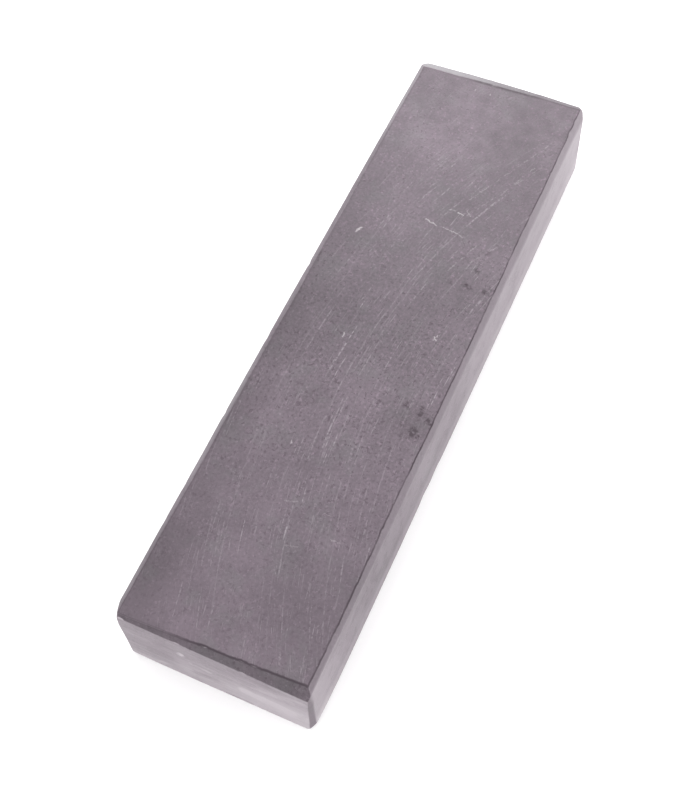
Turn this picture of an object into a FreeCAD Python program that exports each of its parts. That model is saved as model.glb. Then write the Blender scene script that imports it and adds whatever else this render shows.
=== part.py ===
import FreeCAD, Part
import os
import Sketcher

# A natural sharpening stone: one block of fine slaty rock, sawn to a bar and then ground by hand.
# Millimetres. The origin is the middle of the base. +X runs along the length to the far end,
# +Y to the left long side and +Z up. The honing face is the top.
#
# The block is a plain bar. Each of its eight upper and upright edges is ground down by a wedge
# that is lofted from a triangle at one end of the edge to a triangle at the other, because
# a hand-ground bevel is wider at one end than at the other. The base edges are only eased.

NODE = "whetstone_block"
SHEET = "Sizes"

# Every driving dimension: its name in the sheet, its value, and what it measures.
DRIVING_DIMENSIONS = (
    ("stone_length", 150.0, "length of the bar along X"),
    ("stone_width", 40.0, "width of the bar along Y"),
    ("stone_height", 21.0, "thickness of the bar along Z"),
    ("right_bevel_inset", 0.9, "right long edge: how far the bevel reaches in on the top"),
    ("right_bevel_drop_near", 1.1, "right long edge: how far it reaches down at the near end"),
    ("right_bevel_drop_far", 3.2, "right long edge: how far it reaches down at the far end"),
    ("left_bevel_inset", 1.0, "left long edge: how far the bevel reaches in on the top"),
    ("left_bevel_drop_near", 0.8, "left long edge: how far it reaches down at the near end"),
    ("left_bevel_drop_far", 0.7, "left long edge: how far it reaches down at the far end"),
    ("near_bevel_inset_right", 2.1, "near end edge: reach on the top at the right side"),
    ("near_bevel_inset_left", 0.6, "near end edge: reach on the top at the left side"),
    ("near_bevel_drop_right", 2.1, "near end edge: reach down the end at the right side"),
    ("near_bevel_drop_left", 0.6, "near end edge: reach down the end at the left side"),
    ("far_bevel_inset_right", 1.7, "far end edge: reach on the top at the right side"),
    ("far_bevel_inset_left", 2.8, "far end edge: reach on the top at the left side"),
    ("far_bevel_drop_right", 1.2, "far end edge: reach down the end at the right side"),
    ("far_bevel_drop_left", 1.4, "far end edge: reach down the end at the left side"),
    ("near_right_facet_side", 1.3, "near right upright: reach along the long side"),
    ("near_right_facet_end_low", 1.0, "near right upright: reach along the end at the base"),
    ("near_right_facet_end_high", 0.2, "near right upright: reach along the end at the top"),
    ("near_left_facet_side", 1.6, "near left upright: reach along the long side"),
    ("near_left_facet_end_low", 0.6, "near left upright: reach along the end at the base"),
    ("near_left_facet_end_high", 0.9, "near left upright: reach along the end at the top"),
    ("far_right_facet_side_low", 0.4, "far right upright: reach along the long side at the base"),
    ("far_right_facet_side_high", 1.4, "far right upright: reach along the long side at the top"),
    ("far_right_facet_end", 0.8, "far right upright: reach along the end"),
    ("far_left_facet_side", 1.0, "far left upright: reach along the long side"),
    ("far_left_facet_end", 1.1, "far left upright: reach along the end"),
    ("base_ease", 0.3, "chamfer around the base"),
)

# A position in a sketch is a dimension's name and the number that it is divided by.
HALF_LENGTH = ("stone_length", 2)
HALF_WIDTH = ("stone_width", 2)
FULL_HEIGHT = ("stone_height", 1)
ON_BASE = None

SKETCH_ORIGIN = (-1, 1)
START, END = 1, 2


def make_sheet(doc):
    """The spreadsheet that every size is bound to."""
    sheet = doc.addObject("Spreadsheet::Sheet", SHEET)
    for row, (name, value, meaning) in enumerate(DRIVING_DIMENSIONS, start=1):
        sheet.set(f"A{row}", name)
        sheet.set(f"B{row}", str(value))
        sheet.set(f"C{row}", meaning)
        sheet.setAlias(f"B{row}", name)
    doc.recompute()
    return sheet


def expression(position):
    """A position as an expression on the sheet."""
    name, divisor = position
    return f"{SHEET}.{name} / {divisor}"


def size(sheet, position):
    """A position as a number."""
    name, divisor = position
    return float(sheet.get(name)) / divisor


def origin_plane(body, role):
    """One of a body's own origin planes."""
    return next(plane for plane in body.Origin.OriginFeatures if plane.Role == role)


def place_sketch(body, name, role, station, direction):
    """A sketch on a plane parallel to an origin plane, set off along that plane's normal."""
    sketch = body.newObject("Sketcher::SketchObject", name)
    sketch.AttachmentSupport = [(origin_plane(body, role), "")]
    sketch.MapMode = "FlatFace"
    if station is not ON_BASE:
        sketch.setExpression("AttachmentOffset.Base.z", f"{direction} * {expression(station)}")
    return sketch


def add_outline(sketch, corners):
    """Straight lines through the corners, joined end to end into a closed outline."""
    following = corners[1:] + corners[:1]
    for here, there in zip(corners, following):
        sketch.addGeometry(Part.LineSegment(here, there))
    count = len(corners)
    for line in range(count):
        sketch.addConstraint(Sketcher.Constraint("Coincident", line, END, (line + 1) % count, START))


def bind_distance(sketch, kind, first, second, bound_to, value):
    """A sketch distance whose value comes from the sheet."""
    index = sketch.addConstraint(Sketcher.Constraint(kind, *first, *second, value))
    sketch.setExpression(f"Constraints[{index}]", bound_to)


def make_bar(body, sheet):
    """The sawn bar, centred on the origin and standing on the base plane."""
    sketch = place_sketch(body, "bar_outline", "XY_Plane", ON_BASE, 1)
    half_length = size(sheet, HALF_LENGTH)
    half_width = size(sheet, HALF_WIDTH)
    signs = ((-1, -1), (1, -1), (1, 1), (-1, 1))
    add_outline(sketch, [FreeCAD.Vector(x * half_length, y * half_width, 0) for x, y in signs])
    for line, direction in enumerate(("Horizontal", "Vertical", "Horizontal", "Vertical")):
        sketch.addConstraint(Sketcher.Constraint(direction, line))
    sketch.addConstraint(Sketcher.Constraint("Symmetric", 0, START, 2, START, *SKETCH_ORIGIN))
    length = f"{SHEET}.stone_length"
    width = f"{SHEET}.stone_width"
    bind_distance(sketch, "DistanceX", (0, START), (0, END), length, 2 * half_length)
    bind_distance(sketch, "DistanceY", (1, START), (1, END), width, 2 * half_width)
    pad = body.newObject("PartDesign::Pad", "bar")
    pad.Profile = sketch
    pad.setExpression("Length", f"{SHEET}.stone_height")


def wedge_end(body, sheet, name, role, station, direction, corner, reach):
    """The triangle at one end of a wedge. Its right angle is on the bar's sharp edge.

    corner holds the side of the sketch and the position, across and then up.
    reach holds the two dimensions that say how far the bevel comes in from that corner.
    """
    sketch = place_sketch(body, name, role, station, direction)
    (side_x, place_x), (side_y, place_y) = corner
    reach_x, reach_y = reach
    edge = FreeCAD.Vector(side_x * size(sheet, place_x), side_y * size(sheet, place_y), 0)
    across = edge - FreeCAD.Vector(side_x * float(sheet.get(reach_x)), 0, 0)
    along = edge - FreeCAD.Vector(0, side_y * float(sheet.get(reach_y)), 0)
    add_outline(sketch, [edge, across, along])
    sketch.addConstraint(Sketcher.Constraint("Horizontal", 0))
    sketch.addConstraint(Sketcher.Constraint("Vertical", 2))
    sides = (("DistanceX", side_x, place_x), ("DistanceY", side_y, place_y))
    for kind, side, place in sides:
        ends = (SKETCH_ORIGIN, (0, START))
        first, second = ends if side > 0 else ends[::-1]
        bind_distance(sketch, kind, first, second, expression(place), size(sheet, place))
    reaches = (
        ("DistanceX", side_x, (0, START), (0, END), reach_x),
        ("DistanceY", side_y, (2, END), (2, START), reach_y),
    )
    for kind, side, at_edge, inside, reach_name in reaches:
        first, second = (inside, at_edge) if side > 0 else (at_edge, inside)
        value = float(sheet.get(reach_name))
        bind_distance(sketch, kind, first, second, f"{SHEET}.{reach_name}", value)
    return sketch


def grind_edge(doc, body, sheet, name, role, corner, ends):
    """Cuts one tapered bevel. ends holds the station, its direction and the reach, twice."""
    before = body.Shape.Volume
    sections = [
        wedge_end(body, sheet, f"{name}_{which}", role, station, direction, corner, reach)
        for which, (station, direction, reach) in zip(("start", "finish"), ends)
    ]
    wedge = body.newObject("PartDesign::SubtractiveLoft", name)
    wedge.Profile = sections[0]
    wedge.Sections = [sections[1]]
    wedge.Ruled = True
    doc.recompute()
    if not body.Shape.Volume < before:
        raise RuntimeError(f"{name} removed nothing from the bar")


def grind_long_edges(doc, body, sheet):
    """The bevels between the top and the long sides. They run along X."""
    for hand, side in (("right", -1), ("left", 1)):
        corner = ((side, HALF_WIDTH), (1, FULL_HEIGHT))
        ends = (
            (HALF_LENGTH, -1, (f"{hand}_bevel_inset", f"{hand}_bevel_drop_near")),
            (HALF_LENGTH, 1, (f"{hand}_bevel_inset", f"{hand}_bevel_drop_far")),
        )
        grind_edge(doc, body, sheet, f"{hand}_bevel", "YZ_Plane", corner, ends)


def grind_end_edges(doc, body, sheet):
    """The bevels between the top and the ends. They run along Y.

    A sketch on the XZ plane faces -Y, so a positive direction is the right side.
    """
    for end, side in (("near", -1), ("far", 1)):
        corner = ((side, HALF_LENGTH), (1, FULL_HEIGHT))
        ends = (
            (HALF_WIDTH, 1, (f"{end}_bevel_inset_right", f"{end}_bevel_drop_right")),
            (HALF_WIDTH, -1, (f"{end}_bevel_inset_left", f"{end}_bevel_drop_left")),
        )
        grind_edge(doc, body, sheet, f"{end}_bevel", "XZ_Plane", corner, ends)


def grind_uprights(doc, body, sheet):
    """The facets on the four upright edges. They run along Z, from the base to the top."""
    uprights = (
        ("near_right", -1, -1, ("side", "end_low"), ("side", "end_high")),
        ("near_left", -1, 1, ("side", "end_low"), ("side", "end_high")),
        ("far_right", 1, -1, ("side_low", "end"), ("side_high", "end")),
        ("far_left", 1, 1, ("side", "end"), ("side", "end")),
    )
    for name, side_x, side_y, low, high in uprights:
        corner = ((side_x, HALF_LENGTH), (side_y, HALF_WIDTH))
        ends = (
            (ON_BASE, 1, tuple(f"{name}_facet_{reach}" for reach in low)),
            (FULL_HEIGHT, 1, tuple(f"{name}_facet_{reach}" for reach in high)),
        )
        grind_edge(doc, body, sheet, f"{name}_facet", "XY_Plane", corner, ends)


def face_on_base(shape):
    """The name of the flat face that the stone rests on."""
    lowest = min(range(len(shape.Faces)), key=lambda i: shape.Faces[i].CenterOfMass.z)
    return f"Face{lowest + 1}"


def ease_base(doc, body):
    """A small even chamfer around the base."""
    before = body.Shape.Volume
    ground = body.Tip
    chamfer = body.newObject("PartDesign::Chamfer", "base_ease")
    chamfer.Base = (ground, [face_on_base(ground.Shape)])
    chamfer.setExpression("Size", f"{SHEET}.base_ease")
    doc.recompute()
    if not body.Shape.Volume < before:
        raise RuntimeError("base_ease removed nothing from the bar")


def make_whetstone(doc, sheet):
    """The whole stone, one solid."""
    body = doc.addObject("PartDesign::Body", NODE)
    body.Label = NODE
    body.Placement = FreeCAD.Placement()
    make_bar(body, sheet)
    doc.recompute()
    grind_long_edges(doc, body, sheet)
    grind_end_edges(doc, body, sheet)
    grind_uprights(doc, body, sheet)
    ease_base(doc, body)
    return body


def check(doc, pieces):
    """Stops before anything is written if a feature failed or a piece is not one good solid."""
    for item in doc.Objects:
        if {"Invalid", "Error"} & set(item.State):
            raise RuntimeError(f"{item.Name} is in state {item.State}")
    for piece in pieces:
        shape = piece.Shape
        if shape.isNull() or not shape.isValid() or len(shape.Solids) != 1:
            raise RuntimeError(f"{piece.Label} is not one valid solid")


def write(pieces):
    """One STEP file for each piece, named after its label."""
    os.makedirs("parts", exist_ok=True)
    for piece in pieces:
        piece.Shape.exportStep(os.path.join("parts", f"{piece.Label}.step"))


def main():
    doc = FreeCAD.newDocument("Whetstone")
    sheet = make_sheet(doc)
    pieces = [make_whetstone(doc, sheet)]
    doc.recompute()
    check(doc, pieces)
    write(pieces)
    for piece in pieces:
        box = piece.Shape.optimalBoundingBox(True, False)
        sizes = f"{box.XLength:.2f} x {box.YLength:.2f} x {box.ZLength:.2f}"
        print(f"{piece.Label}: {sizes} mm, {piece.Shape.Volume:.0f} cubic mm")


main()
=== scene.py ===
# Looks of a natural sharpening stone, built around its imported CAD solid.
# Lengths in the named values below are millimetres, and angles are degrees.
import math
from collections import namedtuple

import bpy
import numpy as np
from mathutils import Matrix, Vector


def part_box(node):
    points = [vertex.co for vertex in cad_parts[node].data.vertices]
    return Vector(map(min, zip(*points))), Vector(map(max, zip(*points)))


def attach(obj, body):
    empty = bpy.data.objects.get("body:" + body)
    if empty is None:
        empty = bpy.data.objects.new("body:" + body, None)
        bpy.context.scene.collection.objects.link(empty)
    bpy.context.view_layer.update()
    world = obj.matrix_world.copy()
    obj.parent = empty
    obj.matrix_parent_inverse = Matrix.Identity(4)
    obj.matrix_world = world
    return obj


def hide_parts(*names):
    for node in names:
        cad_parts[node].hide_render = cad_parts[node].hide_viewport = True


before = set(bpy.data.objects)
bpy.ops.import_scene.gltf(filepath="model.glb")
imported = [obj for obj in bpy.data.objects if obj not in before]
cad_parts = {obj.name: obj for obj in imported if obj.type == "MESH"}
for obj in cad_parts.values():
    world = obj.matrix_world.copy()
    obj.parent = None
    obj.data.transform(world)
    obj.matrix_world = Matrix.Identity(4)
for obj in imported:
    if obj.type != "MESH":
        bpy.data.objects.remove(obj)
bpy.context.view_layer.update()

MM = 0.001
NODE = "whetstone_block"
LOW, HIGH = (np.array(corner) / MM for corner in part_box(NODE))
HALF_LENGTH = (HIGH[0] - LOW[0]) / 2
HALF_WIDTH = (HIGH[1] - LOW[1]) / 2
HEIGHT = HIGH[2] - LOW[2]

# ==== Camera, floor and light ====

CAMERA_PLACE = (-130.1, -61.0, 242.1)
CAMERA_HEADING = 27.51
CAMERA_PITCH = -59.96
CAMERA_ROLL = -3.91
CAMERA_LENS = 57.78
CAMERA_SENSOR = 36.0

FLOOR_HALF = 3000.0
FLOOR_COLOUR = (0.95, 0.95, 0.95)
FLOOR_ROUGHNESS = 0.9
WORLD_COLOUR = (1.0, 1.0, 1.0)
WORLD_STRENGTH = 1.5

KEY_PLACE = (210.0, 40.0, 180.0)
KEY_AIM = (60.0, 0.0, 0.0)
KEY_SIDE = 160.0
KEY_WATTS = 0.42


def make_camera():
    """The camera, from its place, its heading from +X, its pitch and its roll."""
    data = bpy.data.cameras.new("camera")
    data.sensor_fit = "AUTO"
    data.sensor_width = CAMERA_SENSOR
    data.lens = CAMERA_LENS
    camera = bpy.data.objects.new("camera", data)
    bpy.context.scene.collection.objects.link(camera)
    turn = Matrix.Rotation(math.radians(CAMERA_HEADING - 90), 4, "Z")
    tilt = Matrix.Rotation(math.radians(90 + CAMERA_PITCH), 4, "X")
    roll = Matrix.Rotation(math.radians(CAMERA_ROLL), 4, "Z")
    place = Matrix.Translation(Vector(CAMERA_PLACE) * MM)
    camera.matrix_world = place @ turn @ tilt @ roll
    bpy.context.scene.camera = camera


def make_floor():
    """A plain pale floor that the stone lies on."""
    half = FLOOR_HALF * MM
    mesh = bpy.data.meshes.new("floor")
    corners = [(x * half, y * half, 0) for x, y in ((-1, -1), (1, -1), (1, 1), (-1, 1))]
    mesh.from_pydata(corners, [], [(0, 1, 2, 3)])
    floor = bpy.data.objects.new("floor", mesh)
    bpy.context.scene.collection.objects.link(floor)
    material = bpy.data.materials.new("floor_paper")
    material.use_nodes = True
    shader = material.node_tree.nodes["Principled BSDF"]
    shader.inputs["Base Color"].default_value = (*FLOOR_COLOUR, 1)
    shader.inputs["Roughness"].default_value = FLOOR_ROUGHNESS
    mesh.materials.append(material)


def make_world():
    """Even light from all round, as inside a studio tent."""
    world = bpy.data.worlds.new("tent")
    world.use_nodes = True
    background = world.node_tree.nodes["Background"]
    background.inputs["Color"].default_value = (*WORLD_COLOUR, 1)
    background.inputs["Strength"].default_value = WORLD_STRENGTH
    bpy.context.scene.world = world


def add_softbox(name, place, aim, side, watts):
    """A square area light at a place, facing a point."""
    data = bpy.data.lights.new(name, "AREA")
    data.shape = "SQUARE"
    data.size = side * MM
    data.energy = watts
    light = bpy.data.objects.new(name, data)
    bpy.context.scene.collection.objects.link(light)
    light.location = Vector(place) * MM
    direction = Vector(aim) - Vector(place)
    light.rotation_mode = "QUATERNION"
    light.rotation_quaternion = direction.to_track_quat("-Z", "Y")
    light.visible_camera = False


# ==== Shape of the stone ====

# The faces, the edges and the nicks each have random seeds of their own, counted from SEED.
SEED = 1871
TOP_SEED, END_SEED, SIDE_SEED = 1, 2, 3
FIRST_BEVEL_SEED, FIRST_UPRIGHT_SEED, FIRST_BASE_SEED = 11, 21, 31
NICK_SEED = 50

# The grid that the surface is laid out on, and how it is solved outward from a core.
EDGE_STEP = 0.22
EDGE_BAND = 3.52
LENGTH_STEP = 0.4
WIDTH_STEP = 0.8
HEIGHT_STEP = 1.3
CORE_DEPTH = 4.0
SOLVE_STEPS = 18

# Bevels round the top: how far each comes in on the top and reaches down, at its ends.
RIGHT_INSET, RIGHT_DROP_NEAR, RIGHT_DROP_FAR = 0.9, 1.1, 3.2
LEFT_INSET, LEFT_DROP_NEAR, LEFT_DROP_MIDDLE, LEFT_DROP_FAR = 1.0, 1.0, 0.35, 0.9
LEFT_BOW_POWER = 2
NEAR_REACH_LEFT, NEAR_REACH_RIGHT = 0.55, 2.1
FAR_INSET_LEFT, FAR_INSET_RIGHT = 2.8, 1.7
FAR_DROP_LEFT, FAR_DROP_MIDDLE, FAR_DROP_RIGHT = 1.6, 1.0, 1.3
FAR_BOW_POWER = 1.7

# Facets on the uprights: reach along the long side, then reach along the end. Each is the reach
# at the base, what it gains evenly up to the top, and what it gains only near the top. Last
# comes the power that keeps that gain near the top.
UPRIGHT_FACETS = {
    "near_right": ((1.3, 0.0, 0.0), (1.0, -0.85, 0.0), 1),
    "near_left": ((1.6, 0.0, 2.0), (0.64, 0.0, 0.56), 7),
    "far_right": ((0.4, 1.0, 1.0), (0.8, 0.0, 0.5), 12),
    "far_left": ((1.0, 0.0, 0.0), (1.1, 0.0, 0.0), 1),
}

# Cuts that blunt three top corners: how far each comes in, as the sum of the three ways.
FAR_RIGHT_CORNER, FAR_LEFT_CORNER, NEAR_LEFT_CORNER = 2.9, 2.6, 1.9

# The eased base edges. Two of them are worn further near one corner: extra reach, and
# the length over which it dies away.
BASE_EASE = 0.35
BASE_RIGHT_EASE, RIGHT_WEAR, RIGHT_WEAR_DROP, RIGHT_WEAR_LENGTH = 0.2, 1.3, 2.6, 5.0
BASE_NEAR_EASE, NEAR_WEAR, NEAR_WEAR_LENGTH = 0.15, 1.1, 4.0

# How round the worn arrises are, how far the hand grinding wanders, and how deep below
# the CAD faces the sawn faces lie.
ARRIS_SOFTNESS = 0.07
BEVEL_WANDER = 0.10
UPRIGHT_WANDER = 0.5 * BEVEL_WANDER
BASE_WANDER = 0.4 * BEVEL_WANDER
STRAIGHT_WANDER = 0.04
FACE_WANDER = 0.04
TOP_WANDER = 0.6 * FACE_WANDER
FACE_SINK = 0.03

# The longest and the shortest waves of each wandering edge or face.
TOP_WAVES = (90, 14)
END_WAVES = (40, 7)
SIDE_WAVES = (90, 10)
LONG_EDGE_WAVES = (60, 3)
END_EDGE_WAVES = (20, 2)
UPRIGHT_WAVES = (14, 2)
BASE_LONG_WAVES = (30, 3)
EDGE_WAVE_COUNT = 7
SHEET_WAVE_COUNT = 9
WAVE_GAIN = 1.6

# The largest nicks: centre and half sizes.
LARGE_NICKS = (
    ((-21, -20.7, 1.6), (3.4, 1, 2.8)),
    ((-14.5, -20.4, -0.2), (3, 0.8, 1.1)),
    ((-73.9, -6.8, 21.12), (0.45, 0.9, 0.3)),
    ((-73.7, -8.9, 21.12), (0.4, 0.7, 0.3)),
)

# Small nicks: where along an arris they lie, their half width, how much longer they are
# than wide, and how far out of the stone their middle is, in half widths.
NICK_SPAN = (0.02, 0.98)
NICK_HALF_WIDTH = (0.22, 0.42)
NICK_STRETCH = (1.2, 3.5)
NICK_OFFSET = (0.40, 0.75)

# Arrises with small nicks: start, finish, the way out of the stone, how many.
DIAGONAL = math.sqrt(0.5)
ARRISES = (
    ((-75, -19.2, 21), (75, -19.2, 21), (0, -0.4, 0.9), 9),
    ((-75, -20, 0), (75, -20, 0), (0, -DIAGONAL, -DIAGONAL), 16),
    ((-75, 20, 0), (75, 20, 0), (0, DIAGONAL, -DIAGONAL), 12),
    ((-75, 20, 20.4), (75, 20, 20.4), (0, 0.9, 0.4), 9),
    ((-73, -19, 21), (-74.4, 19, 21), (-0.4, 0, 0.9), 3),
    ((-75, -19, 18.9), (-75, 19, 20.4), (-0.9, 0, 0.4), 3),
    ((-75, -19, 0), (-75, 19, 0), (-DIAGONAL, 0, -DIAGONAL), 6),
    ((75, -19, 0), (75, 19, 0), (DIAGONAL, 0, -DIAGONAL), 7),
    ((75, -19, 19.4), (75, 19, 19.4), (0.9, 0, 0.4), 4),
    ((75, 19, 1), (75, 19, 19), (DIAGONAL, DIAGONAL, 0), 4),
    ((-75, 19.6, 1), (-75, 19.6, 20), (-DIAGONAL, DIAGONAL, 0), 3),
)


def waves(along, seed, span):
    """A smooth wandering line from about -1 to 1, the same on every run."""
    random = np.random.default_rng(SEED + seed)
    longest, shortest = span
    lengths = np.geomspace(longest, shortest, EDGE_WAVE_COUNT)
    phases = random.uniform(0, 2 * np.pi, EDGE_WAVE_COUNT)
    heights = np.sqrt(lengths / longest)
    total = sum(
        height * np.sin(2 * np.pi * along / length + phase)
        for height, length, phase in zip(heights, lengths, phases)
    )
    return total / heights.sum() * WAVE_GAIN


def sheet_waves(across, along, seed, span):
    """A gently uneven sheet from about -1 to 1, the same on every run."""
    random = np.random.default_rng(SEED + seed)
    longest, shortest = span
    lengths = np.geomspace(longest, shortest, SHEET_WAVE_COUNT)
    angles = random.uniform(0, np.pi, SHEET_WAVE_COUNT)
    phases = random.uniform(0, 2 * np.pi, SHEET_WAVE_COUNT)
    heights = np.sqrt(lengths / longest)
    total = 0
    for height, length, angle, phase in zip(heights, lengths, angles, phases):
        distance = across * np.cos(angle) + along * np.sin(angle)
        total = total + height * np.sin(2 * np.pi * distance / length + phase)
    return total / heights.sum() * WAVE_GAIN


def blend(start, finish, share):
    """The value a share of the way from start to finish."""
    return start + (finish - start) * share


def bowed(place, start, middle, finish, power):
    """A size that is smallest in the middle. place runs from -1 at the start to 1 at the finish."""
    end = np.where(place < 0, start, finish)
    return middle + (end - middle) * np.minimum(np.abs(place), 1) ** power


def bevel(outward, upward, inset, drop):
    """Signed distance to a bevel. outward and upward are measured from the sharp edge."""
    return (drop * (outward + inset) + inset * upward) / np.hypot(drop, inset)


def beyond_faces(x, y):
    """How far outside the near, far, right and left faces a point is."""
    return -x - HALF_LENGTH, x - HALF_LENGTH, -y - HALF_WIDTH, y - HALF_WIDTH


def wandering(edges, first_seed):
    """Signed distances to bevels that were ground by hand. Each edge has what bevel() takes,
    and then how far it wanders, the coordinate that runs along it, and its waves."""
    distances = {}
    for seed, (name, (*sizes, wander, along, span)) in enumerate(edges.items(), first_seed):
        distances[name] = bevel(*sizes) + wander * waves(along, seed, span)
    return distances


def face_distances(x, y, z):
    """Signed distances to the six sawn faces, each very slightly uneven."""
    near, far, right, left = beyond_faces(x, y)
    top_unevenness = TOP_WANDER * sheet_waves(x, y, TOP_SEED, TOP_WAVES)
    end_unevenness = FACE_WANDER * sheet_waves(y, z, END_SEED, END_WAVES)
    side_unevenness = FACE_WANDER * sheet_waves(x, z, SIDE_SEED, SIDE_WAVES)
    return {
        "top": z - HEIGHT + FACE_SINK + top_unevenness,
        "base": -z,
        "right": right + FACE_SINK + side_unevenness,
        "left": left + FACE_SINK - side_unevenness,
        "near": near + FACE_SINK + end_unevenness,
        "far": far + FACE_SINK - end_unevenness,
    }


def bevel_distances(x, y, z):
    """Signed distances to the four bevels round the top."""
    near, far, right, left = beyond_faces(x, y)
    up = z - HEIGHT
    from_near = (x + HALF_LENGTH) / (2 * HALF_LENGTH)
    from_left = (HALF_WIDTH - y) / (2 * HALF_WIDTH)
    right_drop = blend(RIGHT_DROP_NEAR, RIGHT_DROP_FAR, from_near)
    left_sizes = (LEFT_DROP_NEAR, LEFT_DROP_MIDDLE, LEFT_DROP_FAR)
    left_drop = bowed(x / HALF_LENGTH, *left_sizes, LEFT_BOW_POWER)
    near_reach = blend(NEAR_REACH_LEFT, NEAR_REACH_RIGHT, from_left)
    far_inset = blend(FAR_INSET_LEFT, FAR_INSET_RIGHT, from_left)
    far_sizes = (FAR_DROP_LEFT, FAR_DROP_MIDDLE, FAR_DROP_RIGHT)
    far_drop = bowed(-y / HALF_WIDTH, *far_sizes, FAR_BOW_POWER)
    edges = {
        "right_bevel": (right, up, RIGHT_INSET, right_drop, BEVEL_WANDER, x, LONG_EDGE_WAVES),
        "left_bevel": (left, up, LEFT_INSET, left_drop, STRAIGHT_WANDER, x, LONG_EDGE_WAVES),
        "near_bevel": (near, up, near_reach, near_reach, STRAIGHT_WANDER, y, END_EDGE_WAVES),
        "far_bevel": (far, up, far_inset, far_drop, STRAIGHT_WANDER, y, END_EDGE_WAVES),
    }
    return wandering(edges, FIRST_BEVEL_SEED)


def upright_distances(x, y, z):
    """Signed distances to the facets on the four upright edges."""
    faces = dict(zip(("near", "far", "right", "left"), beyond_faces(x, y)))
    rise = z / HEIGHT
    edges = {}
    for name, (side, end, power) in UPRIGHT_FACETS.items():
        meeting = (faces[face] for face in name.split("_"))
        gains = np.stack([np.ones_like(rise), rise, rise**power])
        reaches = (np.dot(side, gains), np.dot(end, gains))
        edges[name] = (*meeting, *reaches, UPRIGHT_WANDER, z, UPRIGHT_WAVES)
    return wandering(edges, FIRST_UPRIGHT_SEED)


def corner_distances(x, y, z):
    """Signed distances to the small cuts that blunt three of the top corners."""
    near, far, right, left = beyond_faces(x, y)
    up = z - HEIGHT
    return {
        "near_left_corner": (near + left + up + NEAR_LEFT_CORNER) / math.sqrt(3),
        "far_right_corner": (far + right + up + FAR_RIGHT_CORNER) / math.sqrt(3),
        "far_left_corner": (far + left + up + FAR_LEFT_CORNER) / math.sqrt(3),
    }


def base_edge_distances(x, y, z):
    """Signed distances to the eased edges round the base."""
    near, far, right, left = beyond_faces(x, y)
    right_worn = np.exp(-np.maximum(x + HALF_LENGTH, 0) / RIGHT_WEAR_LENGTH)
    right_inset = BASE_RIGHT_EASE + RIGHT_WEAR * right_worn
    right_drop = BASE_RIGHT_EASE + RIGHT_WEAR_DROP * right_worn
    near_worn = np.exp(-np.maximum(HALF_WIDTH - y, 0) / NEAR_WEAR_LENGTH)
    near_ease = BASE_NEAR_EASE + NEAR_WEAR * near_worn
    edges = {
        "base_right": (right, -z, right_inset, right_drop, BASE_WANDER, x, BASE_LONG_WAVES),
        "base_left": (left, -z, BASE_EASE, BASE_EASE, BASE_WANDER, x, BASE_LONG_WAVES),
        "base_near": (near, -z, near_ease, near_ease, BASE_WANDER, y, END_EDGE_WAVES),
        "base_far": (far, -z, BASE_EASE, BASE_EASE, BASE_WANDER, y, END_EDGE_WAVES),
    }
    return wandering(edges, FIRST_BASE_SEED)


def make_nicks():
    """Centres and half sizes of the ellipsoids that nick the arrises, the same on every run."""
    random = np.random.default_rng(SEED + NICK_SEED)
    nicks = [(np.array(centre), np.array(size)) for centre, size in LARGE_NICKS]
    for start, finish, outward, count in ARRISES:
        start, finish, outward = np.array(start), np.array(finish), np.array(outward)
        run = (finish - start) / np.linalg.norm(finish - start)
        for share in random.uniform(*NICK_SPAN, count):
            width = random.uniform(*NICK_HALF_WIDTH)
            length = width * random.uniform(*NICK_STRETCH)
            centre = blend(start, finish, share) + outward * width * random.uniform(*NICK_OFFSET)
            nicks.append((centre, width + (length - width) * np.abs(run)))
    return nicks


def nick_distance(points):
    """How far inside the nearest nick each point is."""
    deepest = np.full(len(points), -np.inf)
    for centre, size in NICKS:
        inside = (1 - np.sqrt((((points - centre) / size) ** 2).sum(axis=1))) * size.min()
        deepest = np.maximum(deepest, inside)
    return deepest


def all_distances(points):
    """The signed distance from each point to every cut that shapes the stone."""
    x, y, z = points.T
    return {
        **face_distances(x, y, z),
        **bevel_distances(x, y, z),
        **upright_distances(x, y, z),
        **corner_distances(x, y, z),
        **base_edge_distances(x, y, z),
        "nick": nick_distance(points),
    }


def depth_outside(points):
    """How far each point is outside the stone: all the cuts, with worn arrises."""
    stacked = np.stack(list(all_distances(points).values()))
    largest = stacked.max(axis=0)
    spread = np.exp((stacked - largest) / ARRIS_SOFTNESS).sum(axis=0)
    return largest + ARRIS_SOFTNESS * np.log(spread)


NICKS = make_nicks()


def stations(low, high, middle_step):
    """Grid stations: close together near both ends and even in the middle."""
    edge = np.arange(0, EDGE_BAND, EDGE_STEP)
    count = round((high - low - 2 * EDGE_BAND) / middle_step) + 1
    middle = np.linspace(low + EDGE_BAND, high - EDGE_BAND, count)
    return np.concatenate([low + edge, middle, (high - edge)[::-1]])


def quads(sheet, flipped):
    """The four-sided faces of one sheet of vertex numbers."""
    corners = [sheet[:-1, :-1], sheet[1:, :-1], sheet[1:, 1:], sheet[:-1, 1:]]
    if flipped:
        corners.reverse()
    return np.stack(corners, axis=-1).reshape(-1, 4)


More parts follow.
